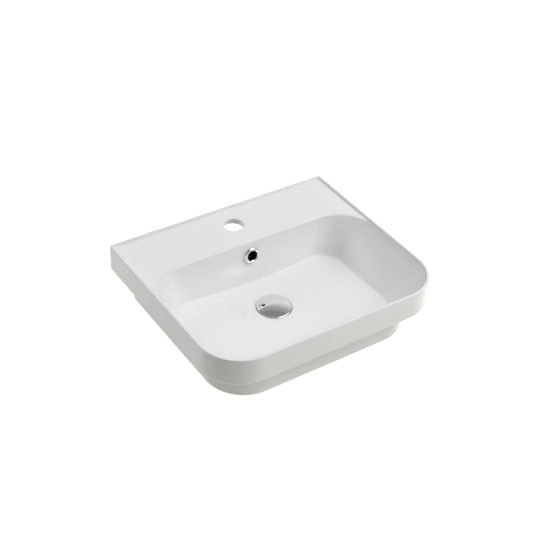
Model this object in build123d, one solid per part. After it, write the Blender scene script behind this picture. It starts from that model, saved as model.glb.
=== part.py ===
import os
from math import cos, pi, radians, sin, tan

from build123d import *

# Inset basin with a slotted waste and a push-operated plug, in millimetres.
# Origin: where the drain axis crosses the worktop's top face. +X is to the right seen from the
# front, +Y is towards the wall and +Z is up.

# Overall sizes of the ceramic
BASIN_WIDTH = 450.0
BASIN_DEPTH = 380.0
DRAIN_FROM_REAR = 190.0
APRON_HEIGHT = 52.0
BODY_DROP = 60.0
FRONT_CORNER_RADIUS = 76.0
REAR_CORNER_RADIUS = 5.0
APRON_EDGE_RADIUS = 4.0

# Rim lip and tap deck
LIP_WIDTH = 5.5
LIP_EDGE_RADIUS = 1.8
DECK_RECESS = 5.0
DECK_THICKNESS = 11.0
DECK_DEPTH = 109.0
DECK_FOOT_RADIUS = 2.5
REAR_WALL = 10.0
RELIEF_HALF_WIDTH = 130.0
RELIEF_HEIGHT = 18.0
TAP_HOLE_RADIUS = 17.5
TAP_HOLE_EDGE_RADIUS = 3.0
TAP_HOLE_FROM_REAR = 50.0

# Bowl
BOWL_DEPTH = 97.5
BOWL_REAR_CORNER_RADIUS = 72.0
BOWL_FOOT_REAR_CORNER_RADIUS = 36.0
BOWL_FOOT_FRONT_CORNER_RADIUS = 40.0
BOWL_SIDE_ANGLE = 33.0
BOWL_FRONT_ANGLE = 33.0
BOWL_REAR_ANGLE = 6.0
BOWL_FLOOR_ANGLE = 6.3
BOWL_FLOOR_BLEND = 7.0
BOWL_SHOULDER_RADIUS = 10.0
BOWL_EDGE_RADIUS = 4.0
BOWL_WALL = 10.0

# Lower body, which drops through the worktop
BODY_SIDE_INSET = 29.0
BODY_FRONT_INSET = 27.0
BODY_REAR_INSET = 30.0
BODY_FRONT_CORNER_RADIUS = 72.0
BODY_REAR_CORNER_RADIUS = 5.0
BODY_EDGE_RADIUS = 6.0
BODY_WALL = 12.0
BODY_ROOT = 4.0
HOLLOW_CORNER_RADIUS = 12.0
OVERCUT = 1.0

# Waste hole and overflow passage in the ceramic
SEAT_RADIUS = 33.0
SEAT_DEPTH = 3.0
SEAT_CONE_RADIUS = 27.6
WASTE_HOLE_RADIUS = 23.0
BOSS_RADIUS = 40.0
BOSS_LENGTH = 33.5
OVERFLOW_HOLE_RADIUS = 12.0
OVERFLOW_BELOW_RIM = 34.0
DUCT_WIDTH = 26.0
DUCT_GAP = 11.0
DUCT_WALL = 9.0
DUCT_HEAD = 9.0

# Overflow ring
RING_RADIUS = 16.0
RING_BORE_RADIUS = 10.0
RING_HEIGHT = 3.6
RING_EDGE_HEIGHT = 0.6
RING_CROWN_SHIFT = 0.6
RING_INNER_DROP = 1.0
RING_SLEEVE_LENGTH = 8.0
RING_SLEEVE_CLEARANCE = 0.2
RING_GASKET_THICKNESS = 0.8
RING_GASKET_RADIUS = 14.5

# Waste body
FLANGE_RADIUS = 31.5
FLANGE_THICKNESS = 2.0
FLANGE_CHAMFER = 0.8
FLANGE_SEAL_OVERHANG = 0.5
FLANGE_SEAL_THICKNESS = 1.5
THREAD_RADIUS = 20.95
SHANK_RADIUS = 20.5
TUBE_BORE_RADIUS = 17.8
CONE_MOUTH_RADIUS = 26.5
CONE_WALL = 2.5
WASTE_LENGTH = 90.0
THREAD_LENGTH = 59.0
TAIL_LENGTH = 34.0
TAIL_CHAMFER = 1.0
GROOVE_RADIUS = 20.2
GROOVE_WIDTH = 2.0
SLOT_WIDTH = 20.0
SLOT_HEIGHT = 10.0
CROSS_HEIGHT = 5.0
CROSS_WEB = 3.0
CROSS_WEB_ANGLES = (90, 210, 330)
CROSS_WEB_ROOT = 1.0
CROSS_HUB_RADIUS = 8.0

# Clamping pieces under the basin
FIT = 0.08
LOWER_SEAL_RADIUS = 31.0
LOWER_SEAL_THICKNESS = 4.0
LOWER_SEAL_NOSE = 3.0
LOWER_SEAL_NOSE_GAP = 0.4
LOWER_SEAL_NOSE_WIDTH = 0.5
SLIP_WASHER_RADIUS = 30.0
SLIP_WASHER_THICKNESS = 1.5
BACK_NUT_FLATS = 52.0
BACK_NUT_HEIGHT = 9.5
NUT_CHAMFER_ANGLE = 30.0

# Push mechanism
PLUG_TRAVEL = 9.0
STEM_RADIUS = 3.0
STEM_CHAMFER = 0.4
COLLAR_RADIUS = 5.8
COLLAR_HEIGHT = 2.5
CUP_RADIUS = 8.5
CUP_WALL = 2.0
CUP_FLOOR = 3.0
STUD_RADIUS = 5.0
STUD_FREE_LENGTH = 8.0
STUD_CHAMFER = 0.5
CARTRIDGE_NUT_FLATS = 15.0
CARTRIDGE_NUT_HEIGHT = 4.0
SPRING_WIRE_RADIUS = 0.45
SPRING_MEAN_RADIUS = 4.8
SPRING_TURNS = 5
SPRING_LENGTH = 8.0
SPRING_END_GAP = 0.1
RING_THICKNESS = 3.5
RING_TEETH = 8
RING_TOOTH_DEPTH = 1.2
RING_NOTCH_WIDTH = 1.4
COVER_THICKNESS = 2.4
COVER_GAP = 0.4
RUNNING_FIT = 0.1
GAP = 0.3

# Plug
CAP_RADIUS = 32.0
CAP_DOME = 5.3
CAP_EDGE_HEIGHT = 0.9
CAP_WALL = 1.8
CAP_RIM_WIDTH = 2.5
CAP_SHOULDER_WIDTH = 0.8
CAP_EDGE_TUCK = 0.1
CAP_RIM_TUCK = 0.4
CAP_BOSS_RADIUS = 5.5
STEM_IN_CAP = 3.0
STEM_END_GAP = 0.2
CARRIER_LIFT = 0.7
CARRIER_RADIUS = 20.5
CARRIER_THICKNESS = 3.0
CARRIER_LIP_RADIUS = 22.5
CARRIER_LIP_THICKNESS = 0.8
SEAL_RADIUS = 24.3
SEAL_LIFT = 0.4
SEAL_CHAMFER = 0.8
LOCK_NUT_FLATS = 10.0
LOCK_NUT_HEIGHT = 3.4

# Levels and places that follow from the sizes above
rim_z = APRON_HEIGHT
deck_z = rim_z - DECK_RECESS
deck_under_z = deck_z - DECK_THICKNESS
floor_z = rim_z - BOWL_DEPTH
body_z = -BODY_DROP
rear_y = DRAIN_FROM_REAR
front_y = rear_y - BASIN_DEPTH
half_width = BASIN_WIDTH / 2
tap_y = rear_y - TAP_HOLE_FROM_REAR
bowl_rear_y = rear_y - DECK_DEPTH
bowl_front_y = front_y + LIP_WIDTH
bowl_half_width = half_width - LIP_WIDTH
body_half_width = half_width - BODY_SIDE_INSET
seat_z = floor_z - SEAT_DEPTH
boss_z = seat_z - BOSS_LENGTH
flange_under_z = seat_z + FLANGE_SEAL_THICKNESS
flange_top_z = flange_under_z + FLANGE_THICKNESS
waste_end_z = flange_top_z - WASTE_LENGTH
overflow_z = rim_z - OVERFLOW_BELOW_RIM
slot_z = (seat_z + boss_z) / 2
thread_top_z = waste_end_z + THREAD_LENGTH
tail_low_z = waste_end_z + TAIL_CHAMFER
groove_z = tail_low_z + TAIL_LENGTH
slip_top_z = boss_z - LOWER_SEAL_THICKNESS
nut_top_z = slip_top_z - SLIP_WASHER_THICKNESS
nut_low_z = nut_top_z - BACK_NUT_HEIGHT

# Levels of the plug and its mechanism, from the cap downwards
cap_rim_z = flange_top_z + GAP
cap_edge_z = cap_rim_z + CAP_EDGE_HEIGHT
cap_top_z = cap_edge_z + CAP_DOME
stem_top_z = cap_rim_z + STEM_IN_CAP
carrier_top_z = cap_rim_z + CARRIER_LIFT
carrier_lip_z = carrier_top_z - CARRIER_LIP_THICKNESS
carrier_low_z = carrier_top_z - CARRIER_THICKNESS
lock_nut_low_z = carrier_low_z - LOCK_NUT_HEIGHT
cover_top_z = lock_nut_low_z - COVER_GAP
cover_low_z = cover_top_z - COVER_THICKNESS
ring_low_z = cover_low_z - GAP - RING_THICKNESS
collar_top_z = ring_low_z - GAP - PLUG_TRAVEL
collar_low_z = collar_top_z - COLLAR_HEIGHT
cup_inside_z = collar_low_z - SPRING_LENGTH
cup_low_z = cup_inside_z - CUP_FLOOR
cross_z = cup_low_z - CROSS_HEIGHT / 2
cross_low_z = cup_low_z - CROSS_HEIGHT


def wall_y(z):
    """Y of the bowl's sloping rear wall at height z."""
    return bowl_rear_y - (deck_z - z) * tan(radians(BOWL_REAR_ANGLE))


def plate(half, front, rear, front_radius, rear_radius, z):
    """A flat outline at height z with its own corner radii at the front and at the rear."""
    face = Pos(0, (front + rear) / 2) * Rectangle(2 * half, rear - front)
    face = fillet(face.vertices().sort_by(Axis.Y)[:2], front_radius)
    face = fillet(face.vertices().sort_by(Axis.Y)[-2:], rear_radius)
    return Pos(0, 0, z) * face


def turned(points, plane=Plane.XZ):
    """The solid of revolution about the drain axis of a closed outline of (radius, height)."""
    outline = make_face(plane * Polyline(*points, close=True))
    return revolve(outline, Axis.Z)


def tube(outer, inner, low, high):
    """A plain ring or sleeve about the drain axis."""
    return turned([(inner, low), (outer, low), (outer, high), (inner, high)])


def hexagon(flats, bore, low, high):
    """A hexagon nut about the drain axis with chamfered corners."""
    corner = flats / 2 / cos(pi / 6)
    prism = extrude(Pos(0, 0, low) * RegularPolygon(corner, 6), high - low)
    drop = (corner - flats / 2) * tan(radians(NUT_CHAMFER_ANGLE))
    dome = turned(
        [
            (0, low),
            (flats / 2, low),
            (corner, low + drop),
            (corner, high - drop),
            (flats / 2, high),
            (0, high),
        ]
    )
    return (prism & dome) - Pos(0, 0, (low + high) / 2) * Cylinder(bore, high - low)


def bowl_top(grow):
    """The bowl's outline at the deck's height, moved outwards by grow."""
    return plate(
        bowl_half_width + grow,
        bowl_front_y - grow,
        bowl_rear_y + grow,
        FRONT_CORNER_RADIUS - LIP_WIDTH + grow,
        BOWL_REAR_CORNER_RADIUS + grow,
        deck_z,
    )


def bowl_form(grow):
    """The bowl as a solid, all its walls and its floor moved outwards by grow."""
    foot_z = floor_z - 2 * grow - SEAT_DEPTH
    fall = deck_z - foot_z
    foot = plate(
        bowl_half_width + grow - fall * tan(radians(BOWL_SIDE_ANGLE)),
        bowl_front_y - grow + fall * tan(radians(BOWL_FRONT_ANGLE)),
        bowl_rear_y + grow - fall * tan(radians(BOWL_REAR_ANGLE)),
        BOWL_FOOT_FRONT_CORNER_RADIUS + grow,
        BOWL_FOOT_REAR_CORNER_RADIUS + grow,
        foot_z,
    )
    walls = loft([bowl_top(grow), foot], ruled=True)
    reach = BASIN_WIDTH
    rise = (reach - SEAT_RADIUS) * tan(radians(BOWL_FLOOR_ANGLE))
    low = floor_z - grow
    high = rim_z + rise
    above_floor = turned([(0, low), (SEAT_RADIUS, low), (reach, low + rise), (reach, high), (0, high)])
    return walls & above_floor


def bowl():
    """The bowl as it is cut out: soft round its floor and where its walls turn up to the rim."""
    form = bowl_form(0)
    floor = max(form.faces().filter_by(GeomType.CONE), key=lambda face: face.area)
    form = fillet([edge for edge in floor.edges() if edge.geom_type != GeomType.CIRCLE], BOWL_FLOOR_BLEND)
    form = form + extrude(bowl_top(0), DECK_RECESS + OVERCUT)
    shoulder = form.edges().filter_by_position(Axis.Z, deck_z, deck_z)
    return fillet(shoulder, BOWL_SHOULDER_RADIUS)


def deck_outline(z):
    """The recessed area inside the lip."""
    return plate(
        bowl_half_width,
        bowl_front_y,
        rear_y - LIP_WIDTH,
        FRONT_CORNER_RADIUS - LIP_WIDTH,
        REAR_CORNER_RADIUS,
        z,
    )


def bowl_edge():
    """What the rounding of the bowl's edge takes off the tap deck."""
    low = deck_z - 2 * BOWL_EDGE_RADIUS
    slab = extrude(Pos(0, 0, low) * Rectangle(2 * BASIN_WIDTH, 2 * BASIN_WIDTH), deck_z - low)
    rounded = slab - bowl_form(0)
    top = rounded.faces().sort_by(Axis.Z)[-1]
    rounded = fillet(top.inner_wires()[0].edges(), BOWL_EDGE_RADIUS)
    deck = extrude(deck_outline(low), deck_z - low)
    start_y = bowl_rear_y - BOWL_REAR_CORNER_RADIUS
    behind = Pos(0, start_y + BASIN_DEPTH / 2, deck_z) * Box(BASIN_WIDTH, BASIN_DEPTH, BASIN_DEPTH)
    return (slab - rounded) & deck & behind


def ceramic():
    """The basin casting."""
    outline = plate(half_width, front_y, rear_y, FRONT_CORNER_RADIUS, REAR_CORNER_RADIUS, 0)
    upper = extrude(outline, APRON_HEIGHT)
    upper = fillet(upper.faces().sort_by(Axis.Z)[0].edges(), APRON_EDGE_RADIUS)
    upper = fillet(upper.faces().sort_by(Axis.Z)[-1].edges(), LIP_EDGE_RADIUS)
    recess = extrude(deck_outline(deck_z), DECK_RECESS + OVERCUT)
    upper = upper - fillet(recess.faces().sort_by(Axis.Z)[0].edges(), DECK_FOOT_RADIUS)
    inner_lip = upper.faces().filter_by(Axis.Z).sort_by(Axis.Z)[-1].inner_wires()[0]
    upper = fillet(inner_lip.edges(), LIP_EDGE_RADIUS)

    lower = extrude(body_outline(body_z), BODY_DROP)
    lower = fillet(lower.faces().sort_by(Axis.Z)[0].edges(), BODY_EDGE_RADIUS)
    body = upper + lower

    inside = bowl()
    body = body - inside - hollow()
    body = body + ducting() - inside
    return body - bowl_edge() - passages()


def body_outline(z):
    """The lower body's outline, which follows the worktop's cut-out."""
    return plate(
        body_half_width,
        front_y + BODY_FRONT_INSET,
        rear_y - BODY_REAR_INSET,
        BODY_FRONT_CORNER_RADIUS,
        BODY_REAR_CORNER_RADIUS,
        z,
    )


def inside_skirt(low, high):
    """The straight space inside the lower body's wall between two heights."""
    outline = plate(
        body_half_width - BODY_WALL,
        front_y + BODY_FRONT_INSET + BODY_WALL,
        rear_y - REAR_WALL,
        BODY_FRONT_CORNER_RADIUS - BODY_WALL,
        HOLLOW_CORNER_RADIUS,
        low,
    )
    return extrude(outline, high - low)


def hollow():
    """The open space under the basin: round the bowl inside the lower body, and under the deck."""
    under_deck = plate(
        body_half_width - BODY_WALL,
        0,
        rear_y - REAR_WALL,
        HOLLOW_CORNER_RADIUS,
        HOLLOW_CORNER_RADIUS,
        -OVERCUT,
    )
    deck = extrude(under_deck, deck_under_z + OVERCUT)
    return inside_skirt(body_z - OVERCUT, 0) + deck - bowl_form(BOWL_WALL)


def duct_box(grow):
    """The overflow passage, down behind the rear wall and forward to the waste hole."""
    half = DUCT_WIDTH / 2 + grow
    near = wall_y(overflow_z) + DUCT_WALL
    far = near + DUCT_GAP
    low = slot_z - SLOT_HEIGHT / 2 - grow
    high = overflow_z + OVERFLOW_HOLE_RADIUS + (grow and DUCT_HEAD)
    down = Pos(0, (near + far) / 2, (low + high) / 2) * Box(2 * half, far - near + 2 * grow, high - low)
    flow_high = slot_z + SLOT_HEIGHT / 2 + grow
    along = Pos(0, (far + grow) / 2, (low + flow_high) / 2) * Box(2 * half, far + grow, flow_high - low)
    return down + along


def ducting():
    """The ceramic round the overflow passage and the waste hole."""
    boss = Pos(0, 0, (boss_z + floor_z) / 2) * Cylinder(BOSS_RADIUS, floor_z - boss_z)
    return duct_box(DUCT_WALL) + boss


def wall_plane():
    """A plane on the bowl's rear wall at the overflow, facing into the bowl."""
    tilt = radians(BOWL_REAR_ANGLE)
    return Plane(
        origin=(0, wall_y(overflow_z), overflow_z),
        x_dir=(1, 0, 0),
        z_dir=(0, -cos(tilt), sin(tilt)),
    )


def passages():
    """Every hole through the casting: tap, waste, overflow, its duct and the rear relief."""
    tap = Cylinder(TAP_HOLE_RADIUS, DECK_THICKNESS + 2 * OVERCUT)
    tap = Pos(0, tap_y, deck_z - DECK_THICKNESS / 2) * tap
    low = (TAP_HOLE_RADIUS, deck_z - TAP_HOLE_EDGE_RADIUS)
    high = (TAP_HOLE_RADIUS + TAP_HOLE_EDGE_RADIUS, deck_z)
    corner = (TAP_HOLE_RADIUS, deck_z)
    turn = RadiusArc(low, high, TAP_HOLE_EDGE_RADIUS)
    edge = make_face(Plane.XZ * (turn + Polyline(high, corner, low)))
    tap = tap + Pos(0, tap_y, 0) * revolve(edge, Axis.Z)
    cone_z = seat_z - (SEAT_CONE_RADIUS - WASTE_HOLE_RADIUS)
    waste = turned(
        [
            (0, boss_z - OVERCUT),
            (WASTE_HOLE_RADIUS, boss_z - OVERCUT),
            (WASTE_HOLE_RADIUS, cone_z),
            (SEAT_CONE_RADIUS, seat_z),
            (SEAT_RADIUS, seat_z),
            (SEAT_RADIUS, floor_z + OVERCUT),
            (0, floor_z + OVERCUT),
        ]
    )
    reach = DUCT_WALL + DUCT_GAP
    overflow = wall_plane() * Pos(0, 0, OVERCUT - reach / 2) * Cylinder(OVERFLOW_HOLE_RADIUS, reach)
    relief = Box(2 * RELIEF_HALF_WIDTH, REAR_WALL + 2 * OVERCUT, RELIEF_HEIGHT + 2 * OVERCUT)
    relief = Pos(0, rear_y - REAR_WALL / 2, RELIEF_HEIGHT / 2 - OVERCUT) * relief
    return [tap, waste, overflow, duct_box(0), relief]


def lower_region():
    """Everything under the apron, with the root of the lower body in it."""
    below = Pos(0, 0, waste_end_z / 2) * Box(2 * BASIN_WIDTH, 2 * BASIN_DEPTH, -waste_end_z)
    return below + extrude(body_outline(0), BODY_ROOT)


def basin_rim():
    """The casting above the worktop: lip, tap deck, apron and the upper part of the bowl."""
    return casting - lower_region()


def basin_skirt():
    """The lower body's wall, which goes into the worktop's cut-out."""
    return (casting & lower_region()) - inside_skirt(waste_end_z, BODY_ROOT)


def waste_housing():
    """The boss round the waste hole and the foot of the overflow passage, below the bowl's floor."""
    around = ducting() - bowl_form(BOWL_WALL)
    return around & inside_skirt(waste_end_z, BODY_ROOT)


def basin_bowl():
    """The lower part of the bowl with its floor."""
    inner = casting & lower_region() & inside_skirt(waste_end_z, BODY_ROOT)
    return inner - waste_housing()


def basin_boss():
    """The boss that the waste is clamped to, with the lower part of the overflow passage."""
    return casting & lower_region() & waste_housing()


def on_wall(solid):
    """Moves a piece turned about +Z onto the overflow, with +Z pointing into the bowl."""
    return wall_plane().location * solid


def overflow_ring():
    """Bright ring with a rounded face and a sleeve in the overflow hole."""
    sleeve = OVERFLOW_HOLE_RADIUS - RING_SLEEVE_CLEARANCE
    back = RING_GASKET_THICKNESS
    crown = (RING_RADIUS + RING_BORE_RADIUS) / 2
    points = [
        (RING_BORE_RADIUS, -RING_SLEEVE_LENGTH),
        (sleeve, -RING_SLEEVE_LENGTH),
        (sleeve, back),
        (RING_RADIUS, back),
        (RING_RADIUS, back + RING_EDGE_HEIGHT),
    ]
    inner = (RING_BORE_RADIUS, back + RING_HEIGHT - RING_INNER_DROP)
    face = ThreePointArc(points[-1], (crown + RING_CROWN_SHIFT, back + RING_HEIGHT), inner)
    outline = Polyline(inner, *points)
    ring = revolve(make_face(Plane.XZ * (face + outline)), Axis.Z)
    return on_wall(ring)


def overflow_gasket():
    return on_wall(tube(RING_GASKET_RADIUS, OVERFLOW_HOLE_RADIUS, 0, RING_GASKET_THICKNESS))


def waste_body():
    """Flanged, slotted and threaded waste with a cross that carries the push mechanism."""
    mouth = CONE_MOUTH_RADIUS
    inner_foot_z = flange_top_z - (mouth - TUBE_BORE_RADIUS)
    outer = mouth - FLANGE_THICKNESS + CONE_WALL
    outer_foot_z = flange_under_z - (outer - SHANK_RADIUS)
    shell = turned(
        [
            (TUBE_BORE_RADIUS, waste_end_z),
            (THREAD_RADIUS - TAIL_CHAMFER, waste_end_z),
            (THREAD_RADIUS, tail_low_z),
            (THREAD_RADIUS, groove_z),
            (GROOVE_RADIUS, groove_z),
            (GROOVE_RADIUS, groove_z + GROOVE_WIDTH),
            (THREAD_RADIUS, groove_z + GROOVE_WIDTH),
            (THREAD_RADIUS, thread_top_z),
            (SHANK_RADIUS, thread_top_z),
            (SHANK_RADIUS, outer_foot_z),
            (outer, flange_under_z),
            (FLANGE_RADIUS, flange_under_z),
            (FLANGE_RADIUS, flange_top_z - FLANGE_CHAMFER),
            (FLANGE_RADIUS - FLANGE_CHAMFER, flange_top_z),
            (mouth, flange_top_z),
            (TUBE_BORE_RADIUS, inner_foot_z),
        ]
    )
    slots = Pos(0, 0, slot_z) * Box(SLOT_WIDTH, 3 * THREAD_RADIUS, SLOT_HEIGHT)
    webs = Part()
    length = TUBE_BORE_RADIUS + CROSS_WEB_ROOT
    for angle in CROSS_WEB_ANGLES:
        web = Pos(length / 2, 0, cross_z) * Box(length, CROSS_WEB, CROSS_HEIGHT)
        webs = webs + Rot(0, 0, angle) * web
    hub = Pos(0, 0, cross_z) * Cylinder(CROSS_HUB_RADIUS, CROSS_HEIGHT)
    hole = Pos(0, 0, cross_z) * Cylinder(STUD_RADIUS + FIT, CROSS_HEIGHT + OVERCUT)
    return shell - slots + (webs + hub) - hole


def flange_seal():
    return tube(FLANGE_RADIUS + FLANGE_SEAL_OVERHANG, SEAT_CONE_RADIUS, seat_z, flange_under_z)


def lower_seal():
    bore = THREAD_RADIUS + FIT
    nose = WASTE_HOLE_RADIUS - LOWER_SEAL_NOSE_GAP
    shoulder = bore + LOWER_SEAL_NOSE_WIDTH
    return turned(
        [
            (bore, slip_top_z),
            (LOWER_SEAL_RADIUS, slip_top_z),
            (LOWER_SEAL_RADIUS, boss_z),
            (nose, boss_z),
            (shoulder, boss_z + LOWER_SEAL_NOSE),
            (bore, boss_z + LOWER_SEAL_NOSE),
        ]
    )


def slip_washer():
    return tube(SLIP_WASHER_RADIUS, THREAD_RADIUS + FIT, nut_top_z, slip_top_z)


def back_nut():
    return hexagon(BACK_NUT_FLATS, THREAD_RADIUS + FIT, nut_low_z, nut_top_z)


def cartridge_body():
    """Cup of the push mechanism with the stud that goes through the waste's cross."""
    end = cross_low_z - STUD_FREE_LENGTH
    return turned(
        [
            (0, end),
            (STUD_RADIUS - STUD_CHAMFER, end),
            (STUD_RADIUS, end + STUD_CHAMFER),
            (STUD_RADIUS, cup_low_z),
            (CUP_RADIUS, cup_low_z),
            (CUP_RADIUS, cover_low_z),
            (CUP_RADIUS - CUP_WALL, cover_low_z),
            (CUP_RADIUS - CUP_WALL, cup_inside_z),
            (0, cup_inside_z),
        ]
    )


def cartridge_nut():
    low = cross_low_z - CARTRIDGE_NUT_HEIGHT
    return hexagon(CARTRIDGE_NUT_FLATS, STUD_RADIUS + FIT, low, cross_low_z)


def cartridge_cover():
    return tube(CUP_RADIUS, STEM_RADIUS + RUNNING_FIT, cover_low_z, cover_top_z)


def index_ring():
    """Toothed cam ring in the cup, free to turn."""
    outer = CUP_RADIUS - CUP_WALL - GAP
    ring = tube(outer, STEM_RADIUS + GAP, ring_low_z, ring_low_z + RING_THICKNESS)
    notch = Box(outer, RING_NOTCH_WIDTH, RING_TOOTH_DEPTH)
    for index in range(RING_TEETH):
        place = Pos(outer, 0, ring_low_z + RING_TOOTH_DEPTH / 2)
        ring = ring - Rot(0, 0, 360 * index / RING_TEETH) * place * notch
    return ring


def plug_spring():
    """Wound compression spring between the cup's floor and the stem's collar."""
    low = cup_inside_z + SPRING_WIRE_RADIUS + SPRING_END_GAP
    height = SPRING_LENGTH - 2 * (SPRING_WIRE_RADIUS + SPRING_END_GAP)
    pitch = height / SPRING_TURNS
    path = Pos(0, 0, low) * Helix(pitch, height, SPRING_MEAN_RADIUS)
    section = Plane(origin=path @ 0, z_dir=path % 0) * Circle(SPRING_WIRE_RADIUS)
    return sweep(section, path, is_frenet=True)


def plug_stem():
    return turned(
        [
            (0, collar_low_z),
            (COLLAR_RADIUS, collar_low_z),
            (COLLAR_RADIUS, collar_top_z),
            (STEM_RADIUS, collar_top_z),
            (STEM_RADIUS, stem_top_z - STEM_CHAMFER),
            (STEM_RADIUS - STEM_CHAMFER, stem_top_z),
            (0, stem_top_z),
        ]
    )


def plug_cap():
    """Domed cap with a rolled rim and a threaded boss inside."""
    dome_radius = (CAP_RADIUS**2 + CAP_DOME**2) / (2 * CAP_DOME)
    centre_z = cap_top_z - dome_radius
    shoulder = CAP_RADIUS - CAP_SHOULDER_WIDTH

    def dome_height(radius, depth):
        return centre_z + ((dome_radius - depth) ** 2 - radius**2) ** 0.5

    outer = ThreePointArc(
        (0, cap_top_z),
        (shoulder / 2, dome_height(shoulder / 2, 0)),
        (shoulder, dome_height(shoulder, 0)),
    )
    edge = ThreePointArc(
        outer @ 1,
        (CAP_RADIUS - CAP_EDGE_TUCK, cap_edge_z),
        (CAP_RADIUS - CAP_RIM_TUCK, cap_rim_z),
    )
    inside = CAP_RADIUS - CAP_RIM_WIDTH
    bore = STEM_RADIUS + FIT
    bore_top = stem_top_z + STEM_END_GAP
    half = (inside + CAP_BOSS_RADIUS) / 2
    inner = ThreePointArc(
        (inside, dome_height(inside, CAP_WALL)),
        (half, dome_height(half, CAP_WALL)),
        (CAP_BOSS_RADIUS, dome_height(CAP_BOSS_RADIUS, CAP_WALL)),
    )
    rest = Polyline(
        inner @ 1,
        (CAP_BOSS_RADIUS, carrier_top_z),
        (bore, carrier_top_z),
        (bore, bore_top),
        (0, bore_top),
        (0, cap_top_z),
    )
    rim = Polyline(edge @ 1, (inside, cap_rim_z), inner @ 0)
    return revolve(make_face(Plane.XZ * (outer + edge + rim + inner + rest)), Axis.Z)


def plug_carrier():
    return turned(
        [
            (STEM_RADIUS + FIT, carrier_low_z),
            (CARRIER_RADIUS, carrier_low_z),
            (CARRIER_RADIUS, carrier_lip_z),
            (CARRIER_LIP_RADIUS, carrier_lip_z),
            (CARRIER_LIP_RADIUS, carrier_top_z),
            (STEM_RADIUS + FIT, carrier_top_z),
        ]
    )


def plug_seal():
    low = carrier_low_z + SEAL_LIFT
    return turned(
        [
            (CARRIER_RADIUS + FIT, low),
            (SEAL_RADIUS - SEAL_CHAMFER, low),
            (SEAL_RADIUS, low + SEAL_CHAMFER),
            (SEAL_RADIUS, carrier_lip_z),
            (CARRIER_RADIUS + FIT, carrier_lip_z),
        ]
    )


def lock_nut():
    return hexagon(LOCK_NUT_FLATS, STEM_RADIUS + FIT, lock_nut_low_z, carrier_low_z)


casting = ceramic()

PIECES = {
    "basin_rim": basin_rim,
    "basin_bowl": basin_bowl,
    "basin_boss": basin_boss,
    "basin_skirt": basin_skirt,
    "overflow_ring": overflow_ring,
    "overflow_gasket": overflow_gasket,
    "waste_body": waste_body,
    "flange_seal": flange_seal,
    "lower_seal": lower_seal,
    "slip_washer": slip_washer,
    "back_nut": back_nut,
    "cartridge_body": cartridge_body,
    "cartridge_nut": cartridge_nut,
    "cartridge_cover": cartridge_cover,
    "index_ring": index_ring,
    "plug_spring": plug_spring,
    "plug_stem": plug_stem,
    "plug_cap": plug_cap,
    "plug_carrier": plug_carrier,
    "plug_seal": plug_seal,
    "lock_nut": lock_nut,
}

os.makedirs("parts", exist_ok=True)
for name, make in PIECES.items():
    export_step(make(), f"parts/{name}.step")
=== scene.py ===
"""Inset basin: the finished look of the ceramic, its overflow ring, waste and plug, and the stage."""

from math import cos, radians, sin

import bpy
from mathutils import Matrix, Vector


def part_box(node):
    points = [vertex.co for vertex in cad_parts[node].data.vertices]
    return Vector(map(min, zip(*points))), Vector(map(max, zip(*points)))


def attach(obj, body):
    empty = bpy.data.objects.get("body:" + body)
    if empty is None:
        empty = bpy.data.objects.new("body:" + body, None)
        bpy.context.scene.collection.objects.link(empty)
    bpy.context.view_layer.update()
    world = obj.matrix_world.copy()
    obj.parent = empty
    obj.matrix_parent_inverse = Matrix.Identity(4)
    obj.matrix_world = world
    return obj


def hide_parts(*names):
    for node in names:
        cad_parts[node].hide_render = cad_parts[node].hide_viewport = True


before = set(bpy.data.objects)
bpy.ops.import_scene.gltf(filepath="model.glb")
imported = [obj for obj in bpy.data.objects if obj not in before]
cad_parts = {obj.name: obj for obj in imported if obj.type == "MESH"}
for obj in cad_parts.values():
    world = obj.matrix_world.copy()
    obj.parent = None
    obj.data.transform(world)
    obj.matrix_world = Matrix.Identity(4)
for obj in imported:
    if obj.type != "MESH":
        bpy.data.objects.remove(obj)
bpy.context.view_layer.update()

bl_info = {
    "name": "Inset Basin",
    "version": (1, 0, 0),
    "blender": (4, 5, 0),
    "location": "3D View > Sidebar > Basin",
    "description": "Finishes an inset basin with its waste, plug and overflow ring",
    "category": "Add Mesh",
}

MM = 0.001
WHITE = (1.0, 1.0, 1.0)

# Camera, solved from the outline of the object
CAMERA_AZIMUTH = -35.452
CAMERA_ELEVATION = 37.83
CAMERA_ROLL = 3.229
CAMERA_SIDE = -93.169 * MM
CAMERA_RISE = 113.01 * MM
CAMERA_DISTANCE = 2137.287 * MM
CAMERA_LENS = 77.991
CAMERA_ORIGIN = (0.0, 190.0 * MM, 52.0 * MM)
CAMERA_REACH = 20.0

# Floor, which glows a little where it is seen directly
FLOOR_Z = -135.0 * MM
FLOOR_SIZE = 12.0
FLOOR_COLOUR = (0.85, 0.835, 0.8)
FLOOR_ROUGHNESS = 0.9
FLOOR_GLOW = 0.75

# Soft lamps: name, azimuth from the right side, elevation, size, watts, seen in reflections
AMBIENT_COLOUR = (1.0, 0.97, 0.92)
LAMP_DISTANCE = 2.0
LAMPS = (
    ("wide_key_lamp", -45.0, 50.0, 2.2, 30.0, True),
    ("top_lamp", 0.0, 90.0, 1.0, 3.3, False),
    ("key_lamp", -45.0, 50.0, 1.0, 6.0, False),
    ("rear_left_lamp", 135.0, 35.0, 1.0, 11.4, False),
    ("high_left_lamp", 150.0, 65.0, 1.0, 3.3, False),
)

# The room in reflections, from pale across the basin to dark on the camera's side.
# Each range is the cosine of the angle from the way back to the camera.
ROOM_PALE = 1.0
ROOM_GREY = 0.38
ROOM_DARK = 0.27
ROOM_GREY_RANGE = (-0.45, 0.0)
ROOM_DARK_RANGE = (0.1, 0.14)

# Foot of the casting, left bare for firing
FOOT_BARE_Z = -59.0 * MM
FOOT_EDGE_SPREAD = 0.4 * MM
FOOT_EDGE_FADE = 0.3 * MM

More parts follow.
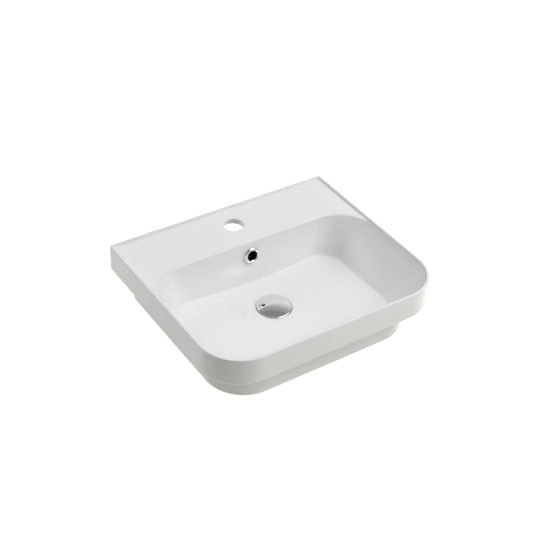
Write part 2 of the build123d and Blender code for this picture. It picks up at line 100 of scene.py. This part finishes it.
# Inside of the overflow duct behind the bowl's sloping rear wall, coloured near black as painted shade of
# the deep cavity
DUCT_HALF_WIDTH = 13.5 * MM
DUCT_TOP = 33.0 * MM
DUCT_FLOOR = -30.0 * MM
DUCT_WALL_Y = 81.0 * MM
DUCT_WALL_Z = 47.0 * MM
DUCT_WALL_SLOPE = 0.105
DUCT_NEAR = 3.0 * MM
DUCT_FAR = 22.0 * MM
# Painted shade: a near-black colour that stands in for the darkness inside the duct
DUCT_PAINTED_SHADE = (0.05, 0.047, 0.045)

# Depths of the relief in each finish
GLAZE_WAVE_DEPTH = 0.05 * MM
FOOT_GRAIN_DEPTH = 0.15 * MM
PLATING_RIPPLE_DEPTH = 0.01 * MM
RUBBER_GRAIN_DEPTH = 0.03 * MM
PLASTIC_GRAIN_DEPTH = 0.015 * MM
TOOL_LINE_DEPTH = 0.02 * MM

# Sizes of the texture in each finish, in waves per metre
GLAZE_CLOUDS = 9.0
GLAZE_HAZE = 60.0
GLAZE_WAVES = 22.0
FOOT_EDGE_WAVES = 400.0
FOOT_SPECKLE = 900.0
FOOT_GRAIN = 1500.0
PLATING_HAZE = 130.0
PLATING_RIPPLE = 90.0
RUBBER_BLOOM = 160.0
RUBBER_GRAIN = 1800.0
PLASTIC_FLOW = 70.0
PLASTIC_GRAIN = 2600.0
METAL_TARNISH = 45.0
TOOL_LINES = 3000.0

# Lightest or darkest shade of each finish, as a share of its colour
GLAZE_SHADES = (0.992, 1.006)
FOOT_SHADE = 0.9
PLATING_SHADE = 0.97
RUBBER_SHADE = 1.7
PLASTIC_SHADE = 0.95
METAL_SHADE = 0.82

# Roughness of each finish, as one value or from its smoothest to its roughest place
GLAZE_ROUGHNESS = (0.07, 0.12)
FOOT_ROUGHNESS = 0.85
PLATING_ROUGHNESS = (0.035, 0.075)
RUBBER_ROUGHNESS = (0.62, 0.8)
PLASTIC_ROUGHNESS = (0.36, 0.5)
BRASS_ROUGHNESS = (0.22, 0.38)
SPRING_ROUGHNESS = (0.25, 0.4)

# Range in which most of a noise texture lies, and the range of a mask
NOISE_RANGE = (0.3, 0.7)
MASK_RANGE = (0.0, 1.0)

# Modelling
JOIN_DISTANCE = 0.002 * MM
SMOOTH_ANGLE = radians(30.0)
THREAD_STEPS = 64
V_TO_CIRCLE = 1.5

GLAZED_NODES = ("basin_rim", "basin_bowl", "basin_boss", "basin_skirt")
PLATED_NODES = ("overflow_ring", "plug_cap")
RUBBER_NODES = ("overflow_gasket", "flange_seal", "lower_seal", "plug_seal")
PLASTIC_NODES = ("slip_washer", "cartridge_body", "cartridge_cover", "index_ring", "plug_carrier")
BRASS_NODES = ("back_nut", "cartridge_nut", "plug_stem", "lock_nut")
SPRING_NODES = ("plug_spring",)


class BasinFinishes(bpy.types.PropertyGroup):
    """Colours that a user may change."""

    glaze: bpy.props.FloatVectorProperty(
        name="Glaze",
        description="Colour of the glaze",
        subtype="COLOR",
        default=(0.86, 0.86, 0.85),
    )
    biscuit: bpy.props.FloatVectorProperty(
        name="Biscuit",
        description="Colour of the bare fired foot",
        subtype="COLOR",
        default=(0.74, 0.69, 0.61),
    )
    plating: bpy.props.FloatVectorProperty(
        name="Plating",
        description="Colour of the bright plating",
        subtype="COLOR",
        default=(0.82, 0.83, 0.84),
    )
    rubber: bpy.props.FloatVectorProperty(
        name="Rubber",
        description="Colour of the seals",
        subtype="COLOR",
        default=(0.035, 0.035, 0.038),
    )
    plastic: bpy.props.FloatVectorProperty(
        name="Plastic",
        description="Colour of the moulded pieces",
        subtype="COLOR",
        default=(0.78, 0.78, 0.76),
    )
    brass: bpy.props.FloatVectorProperty(
        name="Brass",
        description="Colour of the nuts and the stem",
        subtype="COLOR",
        default=(0.72, 0.55, 0.26),
    )
    spring: bpy.props.FloatVectorProperty(
        name="Spring steel",
        description="Colour of the spring wire",
        subtype="COLOR",
        default=(0.58, 0.59, 0.6),
    )


class BasinThread(bpy.types.PropertyGroup):
    """Sizes of the thread on the waste's tail."""

    crest_radius: bpy.props.FloatProperty(
        name="Crest radius",
        description="Radius over the thread",
        default=20.95 * MM,
        unit="LENGTH",
    )
    pitch: bpy.props.FloatProperty(
        name="Pitch",
        description="Rise of the thread in one turn",
        default=2.309 * MM,
        unit="LENGTH",
    )
    depth: bpy.props.FloatProperty(
        name="Depth",
        description="Depth of the thread's groove",
        default=1.25 * MM,
        unit="LENGTH",
    )
    runout: bpy.props.FloatProperty(
        name="Runout",
        description="Reach of the cutter past the crest",
        default=0.35 * MM,
        unit="LENGTH",
    )
    turns: bpy.props.IntProperty(
        name="Turns",
        description="Turns of thread on the tail",
        default=25,
        min=1,
    )


class BasinStage(bpy.types.PropertyGroup):
    """Light levels of the stage."""

    ambient: bpy.props.FloatProperty(
        name="Ambient",
        description="Strength of the light from all sides",
        default=0.04,
        min=0.0,
    )
    level: bpy.props.FloatProperty(
        name="Lamp level",
        description="Strength of the soft lamps together",
        default=1.0,
        min=0.0,
    )
    lens: bpy.props.FloatProperty(
        name="Lens",
        description="Focal length of the camera in millimetres",
        default=CAMERA_LENS,
        min=1.0,
    )


# Materials


def start_material(name):
    """A node material with its shader, ready for sockets to be set."""
    material = bpy.data.materials.new(name)
    material.use_nodes = True
    nodes = material.node_tree.nodes
    return material, nodes, material.node_tree.links, nodes["Principled BSDF"]


def object_place(nodes):
    return nodes.new("ShaderNodeTexCoord").outputs["Object"]


def noise(nodes, links, place, scale, detail=2.0):
    """Smooth random texture, with scale in waves per metre."""
    node = nodes.new("ShaderNodeTexNoise")
    node.inputs["Scale"].default_value = scale
    node.inputs["Detail"].default_value = detail
    links.new(place, node.inputs["Vector"])
    return node.outputs["Fac"]


def spread(nodes, links, value, low, high, source=NOISE_RANGE):
    """Maps a texture's range to the range from low to high."""
    node = nodes.new("ShaderNodeMapRange")
    node.inputs["From Min"].default_value = source[0]
    node.inputs["From Max"].default_value = source[1]
    node.inputs["To Min"].default_value = low
    node.inputs["To Max"].default_value = high
    links.new(value, node.inputs["Value"])
    return node.outputs["Result"]


def relief(nodes, links, height, depth, normal=None):
    """Bump of the given depth in metres."""
    node = nodes.new("ShaderNodeBump")
    node.inputs["Strength"].default_value = 1.0
    node.inputs["Distance"].default_value = depth
    links.new(height, node.inputs["Height"])
    if normal is not None:
        links.new(normal, node.inputs["Normal"])
    return node.outputs["Normal"]


def blended(nodes, links, factor, first, second, kind="RGBA"):
    """Mixes two sockets, colours or numbers."""
    node = nodes.new("ShaderNodeMix")
    node.data_type = kind
    links.new(factor, node.inputs["Factor"])
    inputs = [socket for socket in node.inputs if socket.enabled and socket.name in ("A", "B")]
    for socket, value in zip(inputs, (first, second)):
        if isinstance(value, bpy.types.NodeSocket):
            links.new(value, socket)
        elif kind == "RGBA":
            socket.default_value = (*value, 1.0)
        else:
            socket.default_value = value
    return next(socket for socket in node.outputs if socket.enabled)


def math_node(nodes, links, operation, first, second):
    """One arithmetic step on two sockets or numbers."""
    node = nodes.new("ShaderNodeMath")
    node.operation = operation
    for socket, value in zip(node.inputs, (first, second)):
        if isinstance(value, (int, float)):
            socket.default_value = value
        else:
            links.new(value, socket)
    return node.outputs["Value"]


def shade(colour, factor):
    return tuple(channel * factor for channel in colour)


def foot_mask(nodes, links, place):
    """1 on the bare foot and 0 on the glaze, with a slightly uneven line between them."""
    parts = nodes.new("ShaderNodeSeparateXYZ")
    links.new(place, parts.inputs["Vector"])
    uneven = noise(nodes, links, place, FOOT_EDGE_WAVES)
    shift = spread(nodes, links, uneven, -FOOT_EDGE_SPREAD, FOOT_EDGE_SPREAD)
    below = math_node(nodes, links, "SUBTRACT", FOOT_BARE_Z, parts.outputs["Z"])
    reach = math_node(nodes, links, "ADD", below, shift)
    return spread(nodes, links, reach, *MASK_RANGE, (0.0, FOOT_EDGE_FADE))


def duct_shade_mask(nodes, links, place):
    """1 inside the overflow duct, where the painted shade goes, and 0 elsewhere."""
    parts = nodes.new("ShaderNodeSeparateXYZ")
    links.new(place, parts.inputs["Vector"])
    x, y, z = (parts.outputs[name] for name in "XYZ")
    above_wall = math_node(nodes, links, "SUBTRACT", z, DUCT_WALL_Z)
    lean = math_node(nodes, links, "MULTIPLY", above_wall, DUCT_WALL_SLOPE)
    upright_depth = math_node(nodes, links, "SUBTRACT", y, DUCT_WALL_Y)
    depth = math_node(nodes, links, "SUBTRACT", upright_depth, lean)
    limits = (
        ("LESS_THAN", math_node(nodes, links, "ABSOLUTE", x, 0.0), DUCT_HALF_WIDTH),
        ("LESS_THAN", z, DUCT_TOP),
        ("GREATER_THAN", z, DUCT_FLOOR),
        ("GREATER_THAN", depth, DUCT_NEAR),
        ("LESS_THAN", depth, DUCT_FAR),
    )
    inside = math_node(nodes, links, *limits[0])
    for limit in limits[1:]:
        inside = math_node(nodes, links, "MULTIPLY", inside, math_node(nodes, links, *limit))
    return inside


def glaze_material(colour, biscuit):
    """Thick white glaze with slow waves, a bare rough foot where the casting stood in the kiln, and
    painted shade inside the overflow duct.
    """
    material, nodes, links, shader = start_material("white_glaze")
    place = object_place(nodes)
    bare = foot_mask(nodes, links, place)
    clouds = spread(nodes, links, noise(nodes, links, place, GLAZE_CLOUDS), *MASK_RANGE)
    darker, lighter = (shade(colour, factor) for factor in GLAZE_SHADES)
    white = blended(nodes, links, clouds, darker, lighter)
    speckle = spread(nodes, links, noise(nodes, links, place, FOOT_SPECKLE, detail=3.0), *MASK_RANGE)
    fired = blended(nodes, links, speckle, shade(biscuit, FOOT_SHADE), biscuit)
    surface = blended(nodes, links, bare, white, fired)
    # Painted shade: the inside of the duct is coloured near black for the darkness of the cavity
    duct = duct_shade_mask(nodes, links, place)
    links.new(blended(nodes, links, duct, surface, DUCT_PAINTED_SHADE), shader.inputs["Base Color"])
    gloss = spread(nodes, links, noise(nodes, links, place, GLAZE_HAZE, detail=4.0), *GLAZE_ROUGHNESS)
    links.new(blended(nodes, links, bare, gloss, FOOT_ROUGHNESS, "FLOAT"), shader.inputs["Roughness"])
    waves = relief(nodes, links, noise(nodes, links, place, GLAZE_WAVES, detail=1.0), GLAZE_WAVE_DEPTH)
    grain = math_node(nodes, links, "MULTIPLY", bare, noise(nodes, links, place, FOOT_GRAIN))
    links.new(relief(nodes, links, grain, FOOT_GRAIN_DEPTH, waves), shader.inputs["Normal"])
    return material


def plating_material(colour):
    """Bright plating with a faint haze."""
    material, nodes, links, shader = start_material("bright_plating")
    place = object_place(nodes)
    shader.inputs["Metallic"].default_value = 1.0
    haze = spread(nodes, links, noise(nodes, links, place, PLATING_HAZE, detail=5.0), *MASK_RANGE)
    tint = blended(nodes, links, haze, colour, shade(colour, PLATING_SHADE))
    links.new(tint, shader.inputs["Base Color"])
    links.new(spread(nodes, links, haze, *PLATING_ROUGHNESS, MASK_RANGE), shader.inputs["Roughness"])
    ripple = noise(nodes, links, place, PLATING_RIPPLE, detail=1.0)
    links.new(relief(nodes, links, ripple, PLATING_RIPPLE_DEPTH), shader.inputs["Normal"])
    return material


def rubber_material(colour):
    """Matt moulded rubber with bloom."""
    material, nodes, links, shader = start_material("moulded_rubber")
    place = object_place(nodes)
    bloom = spread(nodes, links, noise(nodes, links, place, RUBBER_BLOOM, detail=4.0), *MASK_RANGE)
    tint = blended(nodes, links, bloom, colour, shade(colour, RUBBER_SHADE))
    links.new(tint, shader.inputs["Base Color"])
    links.new(spread(nodes, links, bloom, *RUBBER_ROUGHNESS, MASK_RANGE), shader.inputs["Roughness"])
    grain = noise(nodes, links, place, RUBBER_GRAIN)
    links.new(relief(nodes, links, grain, RUBBER_GRAIN_DEPTH), shader.inputs["Normal"])
    return material


def plastic_material(colour):
    """Moulded plastic with a fine spark-eroded grain."""
    material, nodes, links, shader = start_material("moulded_plastic")
    place = object_place(nodes)
    flow = spread(nodes, links, noise(nodes, links, place, PLASTIC_FLOW, detail=3.0), *MASK_RANGE)
    tint = blended(nodes, links, flow, shade(colour, PLASTIC_SHADE), colour)
    links.new(tint, shader.inputs["Base Color"])
    links.new(spread(nodes, links, flow, *PLASTIC_ROUGHNESS, MASK_RANGE), shader.inputs["Roughness"])
    grain = noise(nodes, links, place, PLASTIC_GRAIN)
    links.new(relief(nodes, links, grain, PLASTIC_GRAIN_DEPTH), shader.inputs["Normal"])
    return material


def turned_metal_material(name, colour, roughness):
    """Turned metal: lines round the drain axis left by the tool, and slight tarnish."""
    material, nodes, links, shader = start_material(name)
    place = object_place(nodes)
    shader.inputs["Metallic"].default_value = 1.0
    tarnish = spread(nodes, links, noise(nodes, links, place, METAL_TARNISH, detail=5.0), *MASK_RANGE)
    tint = blended(nodes, links, tarnish, shade(colour, METAL_SHADE), colour)
    links.new(tint, shader.inputs["Base Color"])
    polished, dull = roughness
    links.new(spread(nodes, links, tarnish, dull, polished, MASK_RANGE), shader.inputs["Roughness"])
    parts = nodes.new("ShaderNodeSeparateXYZ")
    links.new(place, parts.inputs["Vector"])
    joined = nodes.new("ShaderNodeCombineXYZ")
    links.new(parts.outputs["Z"], joined.inputs["Z"])
    tool_lines = noise(nodes, links, joined.outputs["Vector"], TOOL_LINES, detail=3.0)
    links.new(relief(nodes, links, tool_lines, TOOL_LINE_DEPTH), shader.inputs["Normal"])
    return material


def dress(piece, material):
    """Gives a piece its finish."""
    piece.data.materials.clear()
    piece.data.materials.append(material)


class BASIN_OT_finish_nodes(bpy.types.Operator):
    """Gives the plated, rubber, plastic, brass and spring nodes their finishes"""

    bl_idname = "basin.finish_nodes"
    bl_label = "Finish the nodes"

    def execute(self, context):
        finishes = context.scene.basin_finishes
        groups = (
            (PLATED_NODES, plating_material(finishes.plating)),
            (RUBBER_NODES, rubber_material(finishes.rubber)),
            (PLASTIC_NODES, plastic_material(finishes.plastic)),
            (BRASS_NODES, turned_metal_material("turned_brass", finishes.brass, BRASS_ROUGHNESS)),
            (SPRING_NODES, turned_metal_material("spring_wire", finishes.spring, SPRING_ROUGHNESS)),
        )
        for names, material in groups:
            for name in names:
                dress(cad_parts[name], material)
        return {"FINISHED"}


# Modelled pieces


def only(piece):
    """Leaves one piece selected and active."""
    bpy.ops.object.select_all(action="DESELECT")
    piece.select_set(True)
    bpy.context.view_layer.objects.active = piece


def in_edit_mode(piece, *steps):
    """Runs edit-mode steps on the whole piece."""
    only(piece)
    bpy.ops.object.mode_set(mode="EDIT")
    bpy.ops.mesh.select_all(action="SELECT")
    for step in steps:
        step()
    bpy.ops.object.mode_set(mode="OBJECT")


def merged_copy(node, name):
    """Copy of a node's mesh with its triangles joined."""
    piece = bpy.data.objects.new(name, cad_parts[node].data.copy())
    bpy.context.scene.collection.objects.link(piece)
    only(piece)
    if piece.data.has_custom_normals:
        bpy.ops.mesh.customdata_custom_splitnormals_clear()
    in_edit_mode(piece, lambda: bpy.ops.mesh.remove_doubles(threshold=JOIN_DISTANCE))
    return piece


def thread_cutter(low, sizes):
    """Helical V from one pitch below the tail's end upwards."""
    radius = (sizes.depth + sizes.runout) / V_TO_CIRCLE
    centre = sizes.crest_radius - sizes.depth + radius
    towards_axis = Matrix(((0, -1, 0), (0, 0, -1), (1, 0, 0))).to_euler()
    bpy.ops.object.select_all(action="DESELECT")
    bpy.ops.mesh.primitive_circle_add(
        vertices=3, radius=radius, location=(centre, 0.0, low - sizes.pitch), rotation=towards_axis
    )
    cutter = bpy.context.object
    bpy.ops.object.transform_apply(location=True, rotation=True, scale=True)
    screw = cutter.modifiers.new("helix", "SCREW")
    screw.axis = "Z"
    screw.screw_offset = sizes.pitch
    screw.iterations = sizes.turns
    screw.steps = THREAD_STEPS
    screw.render_steps = THREAD_STEPS
    bpy.ops.object.modifier_apply(modifier=screw.name)
    in_edit_mode(
        cutter,
        lambda: bpy.ops.mesh.remove_doubles(threshold=JOIN_DISTANCE),
        lambda: bpy.ops.mesh.fill_holes(sides=3),
        lambda: bpy.ops.mesh.normals_make_consistent(inside=False),
    )
    return cutter


def combine(piece, other, operation):
    """Adds another shape to a piece or takes it away, and removes the other."""
    only(piece)
    change = piece.modifiers.new("change", "BOOLEAN")
    change.operation = operation
    change.solver = "EXACT"
    change.object = other
    bpy.ops.object.modifier_apply(modifier=change.name)
    bpy.data.objects.remove(other)
    if not piece.data.polygons:
        raise RuntimeError("nothing is left of " + piece.name)


def smooth_shading(piece):
    """Rounds the shading over flat and filleted faces, led by the larger ones, and keeps real edges."""
    only(piece)
    bpy.ops.object.shade_smooth_by_angle(angle=SMOOTH_ANGLE)
    weighted = piece.modifiers.new("weighted", "WEIGHTED_NORMAL")
    weighted.keep_sharp = True
    bpy.ops.object.modifier_apply(modifier=weighted.name)


class BASIN_OT_glazed_casting(bpy.types.Operator):
    """Joins rim, bowl, boss and skirt into the one glazed casting"""

    bl_idname = "basin.glazed_casting"
    bl_label = "Glazed casting"

    def execute(self, context):
        casting = merged_copy(GLAZED_NODES[0], "glazed_casting")
        for node in GLAZED_NODES[1:]:
            combine(casting, merged_copy(node, "casting_part"), "UNION")
        smooth_shading(casting)
        finishes = context.scene.basin_finishes
        dress(casting, glaze_material(finishes.glaze, finishes.biscuit))
        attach(casting, "root")
        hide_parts(*GLAZED_NODES)
        return {"FINISHED"}


class BASIN_OT_threaded_waste(bpy.types.Operator):
    """Cuts the pipe thread into the tail of the waste body"""

    bl_idname = "basin.threaded_waste"
    bl_label = "Threaded waste"

    def execute(self, context):
        waste = merged_copy("waste_body", "threaded_waste")
        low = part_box("waste_body")[0][2]
        combine(waste, thread_cutter(low, context.scene.basin_thread), "DIFFERENCE")
        smooth_shading(waste)
        dress(waste, plating_material(context.scene.basin_finishes.plating))
        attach(waste, "root")
        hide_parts("waste_body")
        return {"FINISHED"}


# Stage


def camera_axes():
    """Right, up and back of the camera in the frame."""
    azimuth, elevation, roll = map(radians, (CAMERA_AZIMUTH, CAMERA_ELEVATION, CAMERA_ROLL))
    back = Vector((sin(azimuth) * cos(elevation), -cos(azimuth) * cos(elevation), sin(elevation)))
    right = (-back).cross(Vector((0, 0, 1))).normalized()
    up = right.cross(-back)
    turned_right = right * cos(roll) + up * sin(roll)
    turned_up = up * cos(roll) - right * sin(roll)
    return turned_right, turned_up, back


def add_camera(lens):
    data = bpy.data.cameras.new("camera")
    data.lens = lens
    data.clip_end = CAMERA_REACH
    camera = bpy.data.objects.new("camera", data)
    bpy.context.scene.collection.objects.link(camera)
    right, up, back = camera_axes()
    matrix = Matrix((right, up, back)).transposed().to_4x4()
    matrix.translation = (
        Vector(CAMERA_ORIGIN) - CAMERA_SIDE * right - CAMERA_RISE * up + CAMERA_DISTANCE * back
    )
    camera.matrix_world = matrix
    bpy.context.scene.camera = camera


def add_lamp(name, azimuth, elevation, size, watts, mirrored):
    """A round soft lamp that points at the basin."""
    data = bpy.data.lights.new(name, "AREA")
    data.shape = "DISK"
    data.size = size
    data.energy = watts
    lamp = bpy.data.objects.new(name, data)
    bpy.context.scene.collection.objects.link(lamp)
    turn, rise = radians(azimuth), radians(elevation)
    towards = Vector((cos(turn) * cos(rise), sin(turn) * cos(rise), sin(rise)))
    lamp.location = towards * LAMP_DISTANCE
    lamp.rotation_euler = (-towards).to_track_quat("-Z", "Y").to_euler()
    lamp.visible_camera = False
    lamp.visible_glossy = mirrored


def seen_directly(nodes, links, kinds):
    """1 for the kinds of ray named, 0 for others."""
    path = nodes.new("ShaderNodeLightPath")
    seen = path.outputs[kinds[0]]
    for kind in kinds[1:]:
        seen = math_node(nodes, links, "MAXIMUM", seen, path.outputs[kind])
    return seen


def studio_world(ambient):
    """Faint even light, white to the camera, with the dark side of the room in reflections."""
    world = bpy.data.worlds.new("studio")
    bpy.context.scene.world = world
    world.use_nodes = True
    nodes, links = world.node_tree.nodes, world.node_tree.links
    background = nodes["Background"]
    towards = nodes.new("ShaderNodeVectorMath")
    towards.operation = "DOT_PRODUCT"
    links.new(nodes.new("ShaderNodeTexCoord").outputs["Generated"], towards.inputs[0])
    towards.inputs[1].default_value = camera_axes()[2]
    side = towards.outputs["Value"]
    room = spread(nodes, links, side, ROOM_PALE, ROOM_GREY, ROOM_GREY_RANGE)
    dark = spread(nodes, links, side, *MASK_RANGE, ROOM_DARK_RANGE)
    room = blended(nodes, links, dark, room, ROOM_DARK, "FLOAT")
    mirrored = seen_directly(nodes, links, ("Is Glossy Ray",))
    lit = blended(nodes, links, mirrored, ambient, room, "FLOAT")
    direct = seen_directly(nodes, links, ("Is Camera Ray", "Is Transmission Ray"))
    links.new(blended(nodes, links, direct, lit, 1.0, "FLOAT"), background.inputs["Strength"])
    plain = math_node(nodes, links, "MAXIMUM", direct, mirrored)
    links.new(blended(nodes, links, plain, AMBIENT_COLOUR, WHITE), background.inputs["Color"])


def floor_material():
    """Pale floor that reads white to the camera and keeps the object's shadow."""
    material, nodes, links, shader = start_material("pale_floor")
    shader.inputs["Base Color"].default_value = (*FLOOR_COLOUR, 1.0)
    shader.inputs["Roughness"].default_value = FLOOR_ROUGHNESS
    shader.inputs["Emission Color"].default_value = (*WHITE, 1.0)
    direct = seen_directly(nodes, links, ("Is Camera Ray", "Is Glossy Ray", "Is Transmission Ray"))
    glow = math_node(nodes, links, "MULTIPLY", direct, FLOOR_GLOW)
    links.new(glow, shader.inputs["Emission Strength"])
    return material


def add_floor():
    """The floor under the basin, level with the end of the waste's tail."""
    bpy.ops.object.select_all(action="DESELECT")
    bpy.ops.mesh.primitive_plane_add(size=FLOOR_SIZE, location=(0.0, 0.0, FLOOR_Z))
    floor = bpy.context.object
    floor.name = "floor"
    dress(floor, floor_material())


class BASIN_OT_stage(bpy.types.Operator):
    """Adds the floor, the lamps and the camera"""

    bl_idname = "basin.stage"
    bl_label = "Stage"

    def execute(self, context):
        stage = context.scene.basin_stage
        add_floor()
        studio_world(stage.ambient)
        for name, azimuth, elevation, size, watts, mirrored in LAMPS:
            add_lamp(name, azimuth, elevation, size, watts * stage.level, mirrored)
        add_camera(stage.lens)
        context.scene.view_settings.view_transform = "Standard"
        return {"FINISHED"}


class BASIN_PT_panel(bpy.types.Panel):
    """Sidebar panel with the basin's operators"""

    bl_idname = "BASIN_PT_panel"
    bl_label = "Inset Basin"
    bl_space_type = "VIEW_3D"
    bl_region_type = "UI"
    bl_category = "Basin"

    def draw(self, context):
        for name in ("basin.finish_nodes", "basin.glazed_casting", "basin.threaded_waste", "basin.stage"):
            self.layout.operator(name)


CLASSES = (
    BasinFinishes,
    BasinThread,
    BasinStage,
    BASIN_OT_finish_nodes,
    BASIN_OT_glazed_casting,
    BASIN_OT_threaded_waste,
    BASIN_OT_stage,
    BASIN_PT_panel,
)


def register():
    for item in CLASSES:
        bpy.utils.register_class(item)
    bpy.types.Scene.basin_finishes = bpy.props.PointerProperty(type=BasinFinishes)
    bpy.types.Scene.basin_thread = bpy.props.PointerProperty(type=BasinThread)
    bpy.types.Scene.basin_stage = bpy.props.PointerProperty(type=BasinStage)


def unregister():
    del bpy.types.Scene.basin_stage
    del bpy.types.Scene.basin_thread
    del bpy.types.Scene.basin_finishes
    for item in reversed(CLASSES):
        bpy.utils.unregister_class(item)


def main():
    register()
    bpy.ops.basin.finish_nodes()
    bpy.ops.basin.glazed_casting()
    bpy.ops.basin.threaded_waste()
    bpy.ops.basin.stage()


if __name__ == "__main__":
    main()
